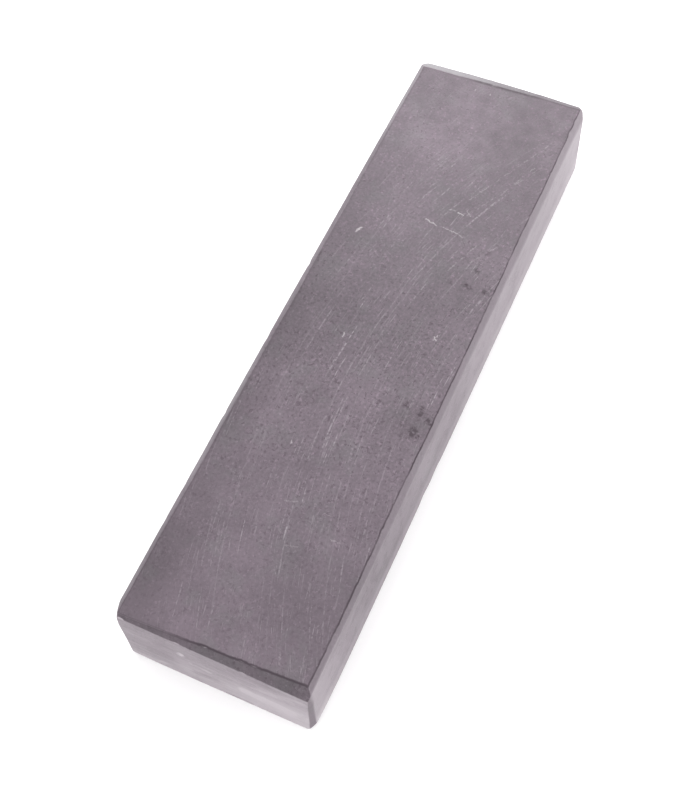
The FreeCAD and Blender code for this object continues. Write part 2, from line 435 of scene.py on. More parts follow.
def box_grid():
    """The points and faces of a closed box grid, finer near its edges."""
    lines = (
        stations(-HALF_LENGTH, HALF_LENGTH, LENGTH_STEP),
        stations(-HALF_WIDTH, HALF_WIDTH, WIDTH_STEP),
        stations(0.0, HEIGHT, HEIGHT_STEP),
    )
    shape = tuple(len(line) for line in lines)
    shell = np.zeros(shape, bool)
    for axis in range(3):
        np.moveaxis(shell, axis, 0)[[0, -1]] = True
    number = np.full(shape, -1)
    number[shell] = np.arange(shell.sum())
    cells = np.argwhere(shell)
    points = np.stack([line[cells[:, axis]] for axis, line in enumerate(lines)], axis=1)
    faces = []
    for axis in range(3):
        layers = np.moveaxis(number, axis, 0)
        turned = axis == 1
        faces.append(quads(layers[0], not turned))
        faces.append(quads(layers[-1], turned))
    return points, np.concatenate(faces)


def settle(points):
    """Moves each grid point along its line to the core until it lies on the stone's surface."""
    low = np.array([-HALF_LENGTH, -HALF_WIDTH, 0.0]) + CORE_DEPTH
    high = np.array([HALF_LENGTH, HALF_WIDTH, HEIGHT]) - CORE_DEPTH
    core = np.clip(points, low, high)
    inside = np.zeros(len(points))
    outside = np.ones(len(points))
    for _ in range(SOLVE_STEPS):
        share = (inside + outside) / 2
        here = core + (points - core) * share[:, None]
        is_out = depth_outside(here) > 0
        outside = np.where(is_out, share, outside)
        inside = np.where(is_out, inside, share)
    return core + (points - core) * inside[:, None]


# The cuts that make up each region of the surface.
REGIONS = {
    "honed": ("top",),
    "near_band": ("near_bevel",),
    "right_band": ("right_bevel",),
    "left_band": ("left_bevel",),
    "far_band": ("far_bevel",),
    "ends": ("near", "far"),
    "uprights": (
        "near_right", "near_left", "far_right", "far_left",
        "near_left_corner", "far_right_corner", "far_left_corner",
    ),
    "underside": ("base", "base_right", "base_left", "base_near", "base_far"),
    "nicks": ("nick",),
}


def add_region_attributes(mesh, points):
    """For each region, how far inside it a point is, in millimetres, negative outside it."""
    distances = all_distances(points)
    for region, members in REGIONS.items():
        own = np.max([distances[name] for name in members], axis=0)
        rest = np.max([d for name, d in distances.items() if name not in members], axis=0)
        attribute = mesh.attributes.new(region, "FLOAT", "POINT")
        attribute.data.foreach_set("value", (own - rest).astype(np.float32))


def make_stone():
    """The stone as one closed mesh."""
    points, faces = box_grid()
    points = settle(points)
    mesh = bpy.data.meshes.new("stone")
    mesh.from_pydata((points * MM).tolist(), [], faces.tolist())
    mesh.shade_smooth()
    add_region_attributes(mesh, points)
    stone = bpy.data.objects.new("stone", mesh)
    bpy.context.scene.collection.objects.link(stone)
    return stone


# ==== Marks on the stone ====

# Centres of the circles that the honed face was rubbed along.
TIGHT_CIRCLE = (-15.0, -134.0)
WIDE_CIRCLE = (-15.0, -230.0)

# Fine broken scratches: circle, spacing across, length along, seed, level where they start.
FINE_SCRATCHES = (
    (TIGHT_CIRCLE, 0.34, 9.0, 1.0, 0.62),
    (TIGHT_CIRCLE, 0.50, 22.0, 2.0, 0.64),
    (WIDE_CIRCLE, 0.36, 9.0, 3.0, 0.63),
)

# The long scratches round each circle: radius, where it starts and ends along X, strength.
TIGHT_SCRATCHES = (
    (119, -12, 8, 0.35),
    (120.3, -52, 14, 0.38),
    (122.4, -50, 32, 0.32),
    (126.2, -72, 8, 0.34),
    (127.6, -50, 48, 0.36),
    (131, -50, -10, 0.45),
    (132.8, -30, 6, 0.50),
    (134.2, -16, 14, 0.36),
    (135.3, -66, 42, 0.52),
    (136.3, -74, -52, 0.30),
    (138.8, -52, -30, 0.25),
    (140.1, -10, 12, 0.26),
    (142.3, -32, -8, 0.28),
    (145, -52, -10, 0.22),
    (146.7, -72, 12, 0.28),
    (151.5, -74, -50, 0.28),
)
WIDE_SCRATCHES = (
    (216.9, -74, -50, 0.22),
    (226.3, -50, -28, 0.24),
    (227.3, 8, 34, 0.26),
    (229.1, -12, 34, 0.40),
    (230.5, -2, 34, 0.40),
    (233.9, -52, -28, 0.24),
    (238.2, 8, 32, 0.20),
    (242.9, -12, 48, 0.24),
    (249.5, 28, 52, 0.32),
)

# Light strokes on the honed face: start, finish, width, strength.
STROKES = (
    ((22.3, 13.95), (23.5, 13.35), 0.46, 0.85),
    ((-3.6, 5.6), (-2.5, 5.65), 0.26, 0.65),
    ((-30, 4.75), (-29.4, 4.75), 0.26, 0.60),
    ((2.9, -12.4), (3.7, -11.6), 0.26, 0.70),
    ((2.8, -11.8), (4.2, -12.3), 0.20, 0.50),
    ((69.6, 1.5), (69.9, 1.5), 0.26, 0.50),
    ((69.6, 5.1), (69.9, 5.1), 0.26, 0.50),
    ((31, 1.3), (30.4, -0.2), 0.34, 0.75),
    ((30.7, -0.3), (30.1, -1.3), 0.30, 0.70),
    ((30.3, -2.7), (29.8, -6.4), 0.22, 0.60),
    ((29.8, -6.4), (29.3, -7.7), 0.20, 0.35),
    ((35.2, -4.3), (35, -5.6), 0.30, 0.90),
    ((35.3, -2.4), (35.5, -3.7), 0.24, 0.40),
    ((36.2, -6), (35.3, -7.2), 0.24, 0.40),
    ((-41.7, 0.6), (-41, -2), 0.20, 0.22),
    ((-50.1, -3.5), (-49.4, -6), 0.20, 0.18),
    ((-41.3, -7.5), (-41.3, -9), 0.20, 0.25),
    ((-45.7, -11), (-45.7, -13), 0.20, 0.30),
    ((46.4, 1.8), (47.6, 1.4), 0.22, 0.32),
    ((39.6, 3.9), (40.8, 3.5), 0.22, 0.24),
)

# Longer strokes that skip as they run.
SKIPPING_STROKES = (
    ((38, -4.6), (45, -8.2), 0.24, 0.30),
    ((45, -8.2), (61.5, -16.5), 0.24, 0.34),
    ((43, -11), (53.1, -15.3), 0.24, 0.28),
    ((35.2, -6.5), (53.9, -16.7), 0.24, 0.26),
    ((20, -8), (33, -13), 0.24, 0.30),
    ((22, -10.5), (30, -15.5), 0.24, 0.35),
)

# Dark stains on the honed face: centre, radius, strength.
STAINS = (
    ((-13.2, -12.8), 0.9, 0.75),
    ((-12.9, -16), 0.7, 0.80),
    ((-14.2, -15.9), 0.7, 0.80),
    ((-15.1, -17.8), 0.9, 0.95),
    ((-15.6, -18.8), 0.7, 0.85),
    ((-18.1, -16), 1.1, 1.00),
    ((-19, -16.4), 0.9, 0.90),
    ((-19.1, -17.5), 0.7, 0.85),
    ((-20, -14.3), 0.5, 0.50),
    ((-16.5, -15.5), 4.2, 0.20),
    ((17.6, -9.4), 0.8, 0.55),
    ((18.1, -12.9), 0.8, 0.85),
    ((17.8, -13.8), 0.7, 0.80),
    ((18, -17.2), 0.9, 0.90),
    ((19, -18.2), 0.5, 0.50),
    ((22.5, -13.8), 0.9, 0.75),
    ((27.4, -14.2), 0.9, 0.45),
    ((24.5, -9.9), 0.8, 0.30),
    ((8, 0.8), 2.2, 0.12),
    ((-42.5, -15), 3, 0.12),
)

# Where handling has darkened the honed face or wear has cleaned it: centre, radius, share.
WORN_PATCHES = (
    ((2, 17), 20, -0.13),
    ((-66, -1), 18, 0.10),
    ((-50, 4), 14, 0.06),
    ((10, 0), 13, -0.10),
    ((70, 13), 14, -0.08),
    ((-10, 0), 10, -0.05),
)

# Scuffs on the near end: start and finish across and up, width, strength.
LIGHT_SCUFFS = (
    ((6.9, 13.3), (6.5, 14.1), 1.3, 0.80),
    ((4.4, 10.8), (1.6, 10.2), 1.5, 0.26),
    ((13, 2.7), (10.5, 3.3), 1.2, 0.25),
    ((-6.6, 7.8), (-14.7, 6.9), 3.4, 0.50),
    ((-10.2, 13.6), (-18.1, 15.5), 3, 0.20),
)
DARK_SCUFFS = (
    ((4.7, 5.9), (0, 6.9), 2.2, 0.16),
    ((-1.4, 0.6), (-6.4, 1.4), 0.8, 0.30),
)


# ==== Shader graph ====

# Noise seldom strays further than a third from 0.5, so a swing stretches it by this much.
SWING_GAIN = 3


class Graph:
    """Short ways to add shader nodes. Sources are sockets or plain values."""

    def __init__(self, tree):
        self.tree = tree

    def add(self, kind, sources, **settings):
        """A new node with its settings made and its inputs fed, by number or by name."""
        node = self.tree.nodes.new(kind)
        for name, value in settings.items():
            setattr(node, name, value)
        for key, source in sources.items():
            if isinstance(source, bpy.types.NodeSocket):
                self.tree.links.new(source, node.inputs[key])
            else:
                node.inputs[key].default_value = source
        return node

    def math(self, operation, *sources):
        return self.add("ShaderNodeMath", dict(enumerate(sources)), operation=operation).outputs[0]

    def sum(self, *sources):
        total = sources[0]
        for source in sources[1:]:
            total = self.math("ADD", total, source)
        return total

    def times(self, *sources):
        product = sources[0]
        for source in sources[1:]:
            product = self.math("MULTIPLY", product, source)
        return product

    def vector(self, operation, *sources, output="Vector"):
        node = self.add("ShaderNodeVectorMath", dict(enumerate(sources)), operation=operation)
        return node.outputs[output]

    def scaled(self, vector, factor):
        sources = {"Vector": vector, "Scale": factor}
        return self.add("ShaderNodeVectorMath", sources, operation="SCALE").outputs["Vector"]

    def squeezed(self, vector, factors):
        """A place squeezed along each axis, so that noise on it is stretched."""
        return self.vector("MULTIPLY", vector, factors)

    def joined(self, x, y, z):
        return self.add("ShaderNodeCombineXYZ", {"X": x, "Y": y, "Z": z}).outputs["Vector"]

    def split(self, vector):
        node = self.add("ShaderNodeSeparateXYZ", {"Vector": vector})
        return node.outputs["X"], node.outputs["Y"], node.outputs["Z"]

    def noise(self, vector, size, detail=2.0, roughness=0.5):
        """Noise from 0 to 1 about 0.5, with features about one size across."""
        sources = {"Vector": vector, "Scale": 1 / size, "Detail": detail, "Roughness": roughness}
        return self.add("ShaderNodeTexNoise", sources).outputs["Fac"]

    def swing(self, vector, size, amount, detail=2.0):
        """Noise from about -amount to +amount."""
        centred = self.math("SUBTRACT", self.noise(vector, size, detail), 0.5)
        return self.math("MULTIPLY", centred, SWING_GAIN * amount)

    def ramp(self, value, low, high, start=0.0, finish=1.0):
        """A smooth step: start below low and finish above high."""
        sources = {"Value": value, "From Min": low, "From Max": high, "To Min": start, "To Max": finish}
        node = self.add("ShaderNodeMapRange", sources, interpolation_type="SMOOTHSTEP")
        return node.outputs["Result"]

    def patches(self, vector, noise, levels):
        """Patches of noise: how far the noise has passed through the levels."""
        return self.ramp(self.noise(vector, *noise), *levels)

    def gap(self, place, centre):
        """Distance from a flat place to a centre."""
        return self.vector("DISTANCE", place, (*centre, 0.0), output="Value")

    def mixed(self, share, first, second):
        """A colour between two colours, inputs 6 and 7 of a Mix node."""
        sources = {0: share, 6: first, 7: second}
        return self.add("ShaderNodeMix", sources, data_type="RGBA").outputs[2]

    def blended(self, share, first, second):
        """A number between two numbers, inputs 2 and 3 of a Mix node."""
        return self.add("ShaderNodeMix", {0: share, 2: first, 3: second}).outputs[0]

    def region(self, name):
        return self.add("ShaderNodeAttribute", {}, attribute_name=name).outputs["Fac"]


# ==== Material of the stone ====

# A noise is its size, detail and roughness. A swing is its size, amount and detail.
# Levels are where a ramp starts and ends, and its values there if they aren't 0 and 1.
# Patches are a noise and the levels that it is passed through.
# A tone is a base and its areas. An area is how much it adds, and for each of its limits the
# axis, where the area starts along it and where the area is full.

# Colours, as linear red, green and blue, and 1 for opaque.
PURPLE_ROCK = (0.11, 0.085, 0.1045, 1)
GREEN_ROCK = (0.1046, 0.0864, 0.1012, 1)
PIT = (0.058, 0.039, 0.053, 1)
# Pale dust, also used for painted light bounced up from the floor towards the base.
DUST_AND_BOUNCE_LIGHT = (0.40, 0.36, 0.39, 1)
GREY_DUST = (0.37, 0.364, 0.377, 1)
GROOVE_POWDER = (0.33, 0.30, 0.325, 1)
FLECK = (0.65, 0.61, 0.63, 1)
STAIN = (0.030, 0.018, 0.0265, 1)
# The dark line along the crease at the edge of the honed face.
CREASE_LINE_COLOUR = (0.030, 0.019, 0.027, 1)

# A surface point: its place in millimetres, its coordinates, and its place seen from above.
Spot = namedtuple("Spot", "place x y z flat")

# The bare rock's colour, how much its grains lighten it, the place stretched lengthwise for
# streaks, and the saw's scratches and flakes.
Texture = namedtuple("Texture", "rock speckle lengthwise saw_scratches flakes")

# How much of a place each kind of mark covers.
Marks = namedtuple("Marks", "lines long_lines stained struck")


def make_spot(graph):
    """The point of the surface that is being shaded."""
    coordinates = graph.add("ShaderNodeTexCoord", {}).outputs["Object"]
    place = graph.scaled(coordinates, 1 / MM)
    x, y, z = graph.split(place)
    return Spot(place, x, y, z, graph.joined(x, y, 0.0))


def tone(graph, spot, base, *areas):
    """A number that changes smoothly over the stone: a base, and what each area adds to it."""
    total = base
    for amount, *limits in areas:
        shares = (graph.ramp(getattr(spot, axis), start, full) for axis, start, full in limits)
        total = graph.sum(total, graph.times(amount, *shares))
    return total


def thinning(graph, spot, areas):
    """A factor that is 1 outside the areas, and changes in each of them on its own."""
    return graph.times(*(tone(graph, spot, 1.0, area) for area in areas))


# Regions of the surface. For each, how far inside it its look starts and is full, and how
# it moves with the ragged edge of the honed face.
REGION_EDGES = {
    "honed": (-0.04, 0.10, 1.0),
    "near_band": (-0.10, 0.04, -1.0),
    "right_band": (-0.35, 0.35, -1.0),
    "left_band": (-0.03, 0.05, 0.0),
    "far_band": (-0.05, 0.15, 0.0),
    "ends": (-0.15, 0.20, 0.0),
    "uprights": (-0.20, 0.10, 0.0),
    "underside": (-0.10, 0.20, 0.0),
    "nicks": (-0.02, 0.10, 0.0),
}
EDGE_WOBBLE = (1.1, 0.09, 3.0)
TIDY_FAR_EDGE = (60.0, 68.0)
TIDY_LEFT_EDGE = (5.0, 14.0)
TIDY_WOBBLE = 0.3


def edge_wobble(graph, spot):
    """How far the edge of the honed face strays, less so at the far end and the left side."""
    tidy_far = graph.ramp(spot.x, *TIDY_FAR_EDGE)
    tidy_left = graph.ramp(spot.y, *TIDY_LEFT_EDGE)
    tidy = graph.math("MAXIMUM", tidy_far, tidy_left)
    wobble = graph.swing(spot.place, *EDGE_WOBBLE)
    return graph.times(wobble, graph.blended(tidy, 1.0, TIDY_WOBBLE))


def region_masks(graph, wobble):
    """How fully the look of each region shows."""
    masks = {}
    for name, (start, full, follow) in REGION_EDGES.items():
        inside = graph.sum(graph.region(name), graph.times(wobble, follow))
        masks[name] = graph.ramp(inside, start, full)
    return masks


# The bare rock.
GREEN_PATCHES = (6.0, 4.0, 0.6), (0.50, 0.66, 0.1, 1.0)
CLOUDS = (15.0, 0.26, 3.0)
BLOTCHES = (3.0, 0.08, 3.0)
MOTTLING = (1, (2.4, ("x", 30, 62)))
GRAIN = (0.62, 0.22, 1.0)
CROWDING = (5.0, 0.05)
PIT_SHIFT, PIT_NOISE, PIT_LEVELS = (9.0, 4.0, 2.0), (0.76, 3.0, 0.65), (0.55, 0.67)
PIT_STRENGTH, PIT_SHADE = 0.75, 0.4
SPARKLE_SHIFT, SPARKLE_NOISE, SPARKLE_LEVELS = (2.0, 7.0, 4.0), (0.70, 3.0, 0.65), (0.57, 0.69)
SPARKLE_STRENGTH = 0.46
WALL_CRISPNESS = 0.75
CRISP_ALONG = (0.54, (0.96, ("x", -72, 30)))
CRISP_ACROSS = (1, (0.08, ("y", 8, -8)))

# What the saw left on the sides and ends.
SAW_STRETCH = (0.04, 0.04, 1.0)
SAW_SCRATCHES = (0.35, 2.0), (0.60, 0.70)
SAW_PATCHES = (6.0, 3.0), (0.45, 0.60)
FLAKES = (4.0, 6.0, 0.65), (0.53, 0.57)


def grains(graph, spot, honed):
    """How much light and dark grains brighten a place, and how much of it is pits."""
    crowding = graph.swing(spot.place, *CROWDING)
    pit_place = graph.vector("ADD", spot.place, PIT_SHIFT)
    pit_noise = graph.sum(graph.noise(pit_place, *PIT_NOISE), crowding)
    sparkle_place = graph.vector("ADD", spot.place, SPARKLE_SHIFT)
    sparkle_noise = graph.sum(graph.noise(sparkle_place, *SPARKLE_NOISE), crowding)
    sparkle = graph.times(graph.ramp(sparkle_noise, *SPARKLE_LEVELS), SPARKLE_STRENGTH)
    crisp = graph.times(tone(graph, spot, *CRISP_ALONG), tone(graph, spot, *CRISP_ACROSS))
    crisp = graph.blended(honed, WALL_CRISPNESS, crisp)
    brightening = graph.times(graph.sum(graph.swing(spot.place, *GRAIN), sparkle), crisp)
    pits = graph.times(graph.ramp(pit_noise, *PIT_LEVELS), crisp)
    return brightening, pits


def stone_texture(graph, spot, honed):
    """The bare rock, with its green patches, clouds, grains and pits, and the saw's marks."""
    tinted = graph.mixed(graph.patches(spot.place, *GREEN_PATCHES), PURPLE_ROCK, GREEN_ROCK)
    mottling = graph.blended(honed, 1.0, tone(graph, spot, *MOTTLING))
    blotches = graph.times(graph.swing(spot.place, *BLOTCHES), mottling)
    brightening, pits = grains(graph, spot, honed)
    shade = graph.sum(1.0, graph.swing(spot.place, *CLOUDS), blotches, brightening)
    rock = graph.mixed(graph.times(pits, PIT_STRENGTH), graph.scaled(tinted, shade), PIT)
    speckle = graph.math("SUBTRACT", brightening, graph.times(pits, PIT_SHADE))
    lengthwise = graph.squeezed(spot.place, SAW_STRETCH)
    saw_patches = graph.patches(spot.place, *SAW_PATCHES)
    saw_scratches = graph.times(graph.patches(lengthwise, *SAW_SCRATCHES), saw_patches)
    flakes = graph.patches(spot.place, *FLAKES)
    return Texture(rock, speckle, lengthwise, saw_scratches, flakes)


# How much of a stroke's width is solid, and how wide its faded edge reaches.
STROKE_CORE, STROKE_EDGE = 0.15, 0.75


def make_stroke_group():
    """A node group: how much of a short straight stroke lies on a place."""
    tree = bpy.data.node_groups.new("stroke", "ShaderNodeTree")
    for name in ("Place", "Start", "Finish"):
        tree.interface.new_socket(name, in_out="INPUT", socket_type="NodeSocketVector")
    for name in ("Width", "Strength"):
        tree.interface.new_socket(name, in_out="INPUT", socket_type="NodeSocketFloat")
    tree.interface.new_socket("Share", in_out="OUTPUT", socket_type="NodeSocketFloat")
    graph = Graph(tree)
    given = tree.nodes.new("NodeGroupInput").outputs
    run = graph.vector("SUBTRACT", given["Finish"], given["Start"])
    reach = graph.vector("SUBTRACT", given["Place"], given["Start"])
    run_squared = graph.vector("DOT_PRODUCT", run, run, output="Value")
    along = graph.vector("DOT_PRODUCT", reach, run, output="Value")
    share = graph.math("MAXIMUM", graph.math("DIVIDE", along, run_squared), 0)
    nearest = graph.scaled(run, graph.math("MINIMUM", share, 1))
    gap = graph.vector("DISTANCE", reach, nearest, output="Value")
    inner = graph.times(given["Width"], STROKE_CORE)
    outer = graph.times(given["Width"], STROKE_EDGE)
    covered = graph.times(graph.ramp(gap, inner, outer, 1.0, 0.0), given["Strength"])
    graph.add("NodeGroupOutput", {"Share": covered})
    return tree


def stroke_share(graph, group, place, strokes):
    """The share of a place that any of the strokes covers."""
    covered = 0.0
    for start, finish, width, strength in strokes:
        sources = {"Place": place, "Start": (*start, 0.0), "Finish": (*finish, 0.0)}
        sources.update({"Width": width, "Strength": strength})
        one = graph.add("ShaderNodeGroup", sources, node_tree=group).outputs["Share"]
        covered = graph.math("MAXIMUM", covered, one)
    return covered


# Pale dust on each part of the surface. Towards the base it also stands for painted light bounced up
# from the floor.
# Paler towards the base: partly dust, partly painted light bounced up from the floor.
LOW_DUST_AND_BOUNCE_LIGHT = (0.26, ("z", 7, 1))
SIDE_DUST_AND_BOUNCE_LIGHT = (
    0.34,
    (0.18, ("x", -20, 20)),
    (0.16, ("x", 20, 76)),
    (0.30, ("x", -56, -74)),
    LOW_DUST_AND_BOUNCE_LIGHT,
    # Paler at the base near the near end: partly dust, partly painted light bounced up from the floor.
    (0.22, ("x", -66, -73), ("z", 5, 2)),
)
SIDE_CLOUDS = (14.0, 0.09, 3.0)
SIDE_STREAKS = (0.55, 0.045, 4.0)
END_DUST_AND_BOUNCE_LIGHT = (
    0.38,
    # Paler towards the base: partly dust, partly painted light bounced up from the floor.
    (0.40, ("z", 18, 2)),
    (0.20, ("y", 4, -12), ("z", 20, 9)),
    (-0.24, ("y", 6, 11), ("z", 1, 5), ("z", 14, 9)),
    (0.14, ("y", -10, -15), ("z", 14, 17)),
    (-0.26, ("x", -1, 1)),
)
RIGHT_BAND_DUST = (
    0.18,
    (0.04, ("x", -60, 0)),
    (0.14, ("x", 20, 60)),
)
LEFT_BAND_DUST = (
    0.14,
    (0.12, ("x", -55, -38)),
    (-0.10, ("x", -25, -10)),
    (0.16, ("x", 42, 58)),
)
FAR_BAND_DUST = (0.16, (0.44, ("y", -16, 18)))
# Paler underside and base edges: partly dust, partly painted light bounced up from the floor.
UNDERSIDE_DUST_AND_BOUNCE_LIGHT = (0.50, LOW_DUST_AND_BOUNCE_LIGHT)
UPRIGHT_DUST = 0.14
NICK_DUST = 0.20

# Streaks across the ends, and the patchy dust of the left and far bevels.
END_STREAK_STRETCH, END_STREAKS = (1.0, 0.12, 1.0), (1.2, 0.14, 3.0)
PATCHY_STRETCH, PATCHY_DUST = (0.3, 1.0, 1.0), (2.0, 0.08, 2.0)

# How much grains, flakes and saw scratches show in the dust.
SPECKLE_IN_DUST = 0.30
SIDE_FLAKES, SIDE_SAW_SCRATCHES = -0.07, 0.10
END_FLAKES, END_SAW_SCRATCHES = -0.05, 0.08

# Scuffs on the near end: how ragged they are across and up, how they break up in streaks,
# and how far past the middle of the stone they fade out.
SCUFF_RAGGED_ACROSS, SCUFF_RAGGED_UP = (1.5, 0.8, 3.0), (0.9, 0.35, 3.0)
SCUFF_STREAK_STRETCH = (1.0, 0.3, 1.0)
SCUFF_STREAKS = (0.8, 3.0), (0.36, 0.62, 0.35, 1.0)
NEAR_HALF = (0.0, -1.0)


def saw_marks_in_dust(graph, texture, flakes, saw_scratches):
    """How grains, flakes and saw scratches change the dust of a sawn face."""
    return graph.sum(
        graph.times(texture.speckle, SPECKLE_IN_DUST),
        graph.times(texture.flakes, flakes),
        graph.times(texture.saw_scratches, saw_scratches),
    )


def side_dust_and_bounce_light(graph, spot, texture):
    """Dust on the long sides, with painted light bounced up from the floor towards their base."""
    return graph.sum(
        tone(graph, spot, *SIDE_DUST_AND_BOUNCE_LIGHT),
        graph.swing(spot.place, *SIDE_CLOUDS),
        graph.swing(texture.lengthwise, *SIDE_STREAKS),
        saw_marks_in_dust(graph, texture, SIDE_FLAKES, SIDE_SAW_SCRATCHES),
    )


def end_scuffs(graph, spot, stroke_group):
    """How much the scuffs of the near end add to its dust."""
    across = graph.sum(spot.y, graph.swing(spot.place, *SCUFF_RAGGED_ACROSS))
    up = graph.sum(spot.z, graph.swing(spot.place, *SCUFF_RAGGED_UP))
    end_flat = graph.joined(across, up, 0.0)
    streak_place = graph.squeezed(spot.place, SCUFF_STREAK_STRETCH)
    light = stroke_share(graph, stroke_group, end_flat, LIGHT_SCUFFS)
    light = graph.times(light, graph.patches(streak_place, *SCUFF_STREAKS))
    dark = stroke_share(graph, stroke_group, end_flat, DARK_SCUFFS)
    return graph.times(graph.math("SUBTRACT", light, dark), graph.ramp(spot.x, *NEAR_HALF))


def end_dust_and_bounce_light(graph, spot, texture, stroke_group):
    """Dust on the two ends, with painted light bounced up from the floor towards their base."""
    return graph.sum(
        tone(graph, spot, *END_DUST_AND_BOUNCE_LIGHT),
        graph.swing(graph.squeezed(spot.place, END_STREAK_STRETCH), *END_STREAKS),
        end_scuffs(graph, spot, stroke_group),
        saw_marks_in_dust(graph, texture, END_FLAKES, END_SAW_SCRATCHES),
    )


def dust_and_bounce_light_share(graph, spot, masks, texture, stroke_group):
    """How much pale dust, with painted light bounced up from the floor near the base, covers a place,
    on each region in turn.
    """
    patchy = graph.swing(graph.squeezed(spot.place, PATCHY_STRETCH), *PATCHY_DUST)
    layers = {
        "ends": end_dust_and_bounce_light(graph, spot, texture, stroke_group),
        "right_band": tone(graph, spot, *RIGHT_BAND_DUST),
        "uprights": UPRIGHT_DUST,
        "left_band": graph.sum(patchy, tone(graph, spot, *LEFT_BAND_DUST)),
        "far_band": graph.sum(patchy, tone(graph, spot, *FAR_BAND_DUST)),
        "near_band": 0.0,
        "underside": tone(graph, spot, *UNDERSIDE_DUST_AND_BOUNCE_LIGHT),
        "honed": 0.0,
    }
    dust_and_bounce_light = side_dust_and_bounce_light(graph, spot, texture)
    for region, layer in layers.items():
        dust_and_bounce_light = graph.blended(masks[region], dust_and_bounce_light, layer)
    return dust_and_bounce_light


# How wear and handling shade the honed face and the bevels.
HANDLED = (
    1,
    (-0.17, ("y", 9, 18), ("x", 66, 10)),
    (-0.09, ("y", 4, -12), ("x", -20, 25)),
    (-0.08, ("x", 58, 74)),
)
PATCH_CORE = 0.3
NEAR_BAND_SHADE, NEAR_BAND_CLOUDS = 0.76, (3.5, 0.10, 3.0)
FAR_BAND_SHADE = 0.80


def handled_shade(graph, spot, masks):
    """A factor for the colour, less than 1 where wear and handling have darkened it."""
    handled = tone(graph, spot, *HANDLED)
    for centre, radius, share in WORN_PATCHES:
        gap = graph.gap(spot.flat, centre)
        patch = graph.ramp(gap, PATCH_CORE * radius, radius, share, 0.0)
        handled = graph.sum(handled, patch)
    near_band = graph.sum(NEAR_BAND_SHADE, graph.swing(spot.place, *NEAR_BAND_CLOUDS))
    shade = graph.blended(masks["honed"], 1.0, handled)
    shade = graph.blended(masks["near_band"], shade, near_band)
    return graph.blended(masks["far_band"], shade, FAR_BAND_SHADE)


# Fine scratches: how softly they start, how they crowd into bands, where they are fewer.
SCRATCH_NOISE, SCRATCH_SOFTNESS = (1.0, 1.0), 0.10
BAND_SEED, BANDS_ACROSS, BANDS_ALONG = 20.0, 0.28, 0.03
BANDS = (1.0, 2.0), (0.38, 0.66, 0.15, 1.0)
FINE_SCRATCH_AREAS = (
    (-0.65, ("x", 35, 62)),
    (-0.32, ("x", -45, -70)),
    (-0.50, ("y", 6, 15)),
)

# Long scratches: how they break into dashes, how they stray, their faded edge and ends.
DASHES_ACROSS, DASHES_ALONG = 1.6, 0.30
DASHES = (1.0, 2.0), (0.40, 0.58)
SCRATCH_WANDER, SCRATCH_SHAKE = (5.0, 0.06), (0.7, 0.09, 3.0)
SCRATCH_CORE, SCRATCH_EDGE = 0.03, 0.22
SCRATCH_FADE = 8.0

# Where both kinds skip, and how much of that the long ones do.
SKIPS = (0.65, 3.0), (0.42, 0.58, 0.10, 1.0)
LONG_SKIPPING = 0.7


def circle_place(graph, spot, centre):
    """Distance from a circle's centre, and distance along the circle."""
    across = graph.math("SUBTRACT", spot.x, centre[0])
    up = graph.math("SUBTRACT", spot.y, centre[1])
    radius = graph.math("SQRT", graph.sum(graph.times(across, across), graph.times(up, up)))
    return radius, graph.times(graph.math("ARCTAN2", across, up), -centre[1])


def fine_lines(graph, spot, centre, spacing, length, seed, level):
    """Fine broken lines along circles round a centre, closer together in some bands."""
    radius, along = circle_place(graph, spot, centre)
    line_place = graph.joined(graph.times(radius, 1 / spacing), graph.times(along, 1 / length), seed)
    line_noise = graph.noise(line_place, *SCRATCH_NOISE)
    lines = graph.ramp(line_noise, level, level + SCRATCH_SOFTNESS)
    band_radius, band_along = graph.times(radius, BANDS_ACROSS), graph.times(along, BANDS_ALONG)
    band_place = graph.joined(band_radius, band_along, seed + BAND_SEED)
    return graph.times(lines, graph.patches(band_place, *BANDS))


def long_lines(graph, spot, centre, arcs):
    """Single long scratches along circles round a centre, each broken into dashes."""
    radius, along = circle_place(graph, spot, centre)
    dash_radius, dash_along = graph.times(radius, DASHES_ACROSS), graph.times(along, DASHES_ALONG)
    dash_place = graph.joined(dash_radius, dash_along, 0.0)
    wander = graph.swing(spot.place, *SCRATCH_WANDER)
    radius = graph.sum(radius, wander, graph.swing(spot.place, *SCRATCH_SHAKE))
    covered = 0.0
    for arc_radius, start, finish, strength in arcs:
        gap = graph.math("ABSOLUTE", graph.math("SUBTRACT", radius, arc_radius))
        line = graph.ramp(gap, SCRATCH_CORE, SCRATCH_EDGE, strength, 0.0)
        begun = graph.ramp(spot.x, start, start + SCRATCH_FADE)
        ended = graph.ramp(spot.x, finish, finish - SCRATCH_FADE)
        covered = graph.math("MAXIMUM", covered, graph.times(line, begun, ended))
    return graph.times(covered, graph.patches(dash_place, *DASHES))


def scratches(graph, spot):
    """The curved scratches of the honed face: the many fine ones, and the few long ones."""
    skips = graph.patches(spot.place, *SKIPS)
    fine = graph.sum(*(fine_lines(graph, spot, *family) for family in FINE_SCRATCHES))
    fine = graph.times(fine, thinning(graph, spot, FINE_SCRATCH_AREAS), skips)
    tight = long_lines(graph, spot, TIGHT_CIRCLE, TIGHT_SCRATCHES)
    wide = long_lines(graph, spot, WIDE_CIRCLE, WIDE_SCRATCHES)
    long_skips = graph.blended(LONG_SKIPPING, 1.0, skips)
    return fine, graph.times(graph.math("MAXIMUM", tight, wide), long_skips)


